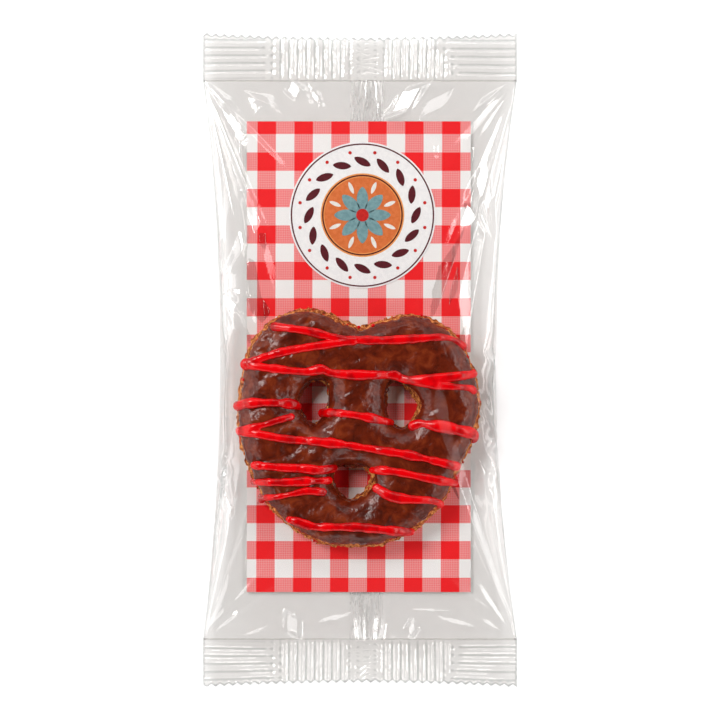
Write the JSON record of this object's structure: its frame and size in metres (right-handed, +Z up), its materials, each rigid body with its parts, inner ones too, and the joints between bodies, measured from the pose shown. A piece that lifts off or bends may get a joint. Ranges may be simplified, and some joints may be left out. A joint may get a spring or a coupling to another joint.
{
  "type": "pretzel cookie in a sealed clear bag",
  "caption": "Chocolate-coated pretzel cookie with icing lines on a gingham card with a round label, sealed flat in a clear flow-wrap bag with crimped ends.",
  "frame": {"origin": "middle of the underside of the pack as it lies on its back, at the height of the surface it rests on", "axes": "+Z up from the card through the cookie, +Y along the pack to the end with the label, +X to the right seen from above"},
  "size_m": [0.1092, 0.227, 0.0157],
  "materials": {
    "clear_film": "clear glossy polypropylene film, crimped at both ends",
    "printed_card": "satin board printed with red and white gingham",
    "label_paper": "matt white paper with a printed rim and simple motifs",
    "biscuit_dough": "baked crumbly golden brown dough",
    "chocolate": "semi-gloss milk chocolate with glossy lines of red icing"
  },
  "bodies": {
    "root": {"bag": "clear_film", "card": "printed_card", "label": "label_paper", "biscuit": "biscuit_dough", "chocolate_coat": "chocolate"}
  },
  "joints": []
}
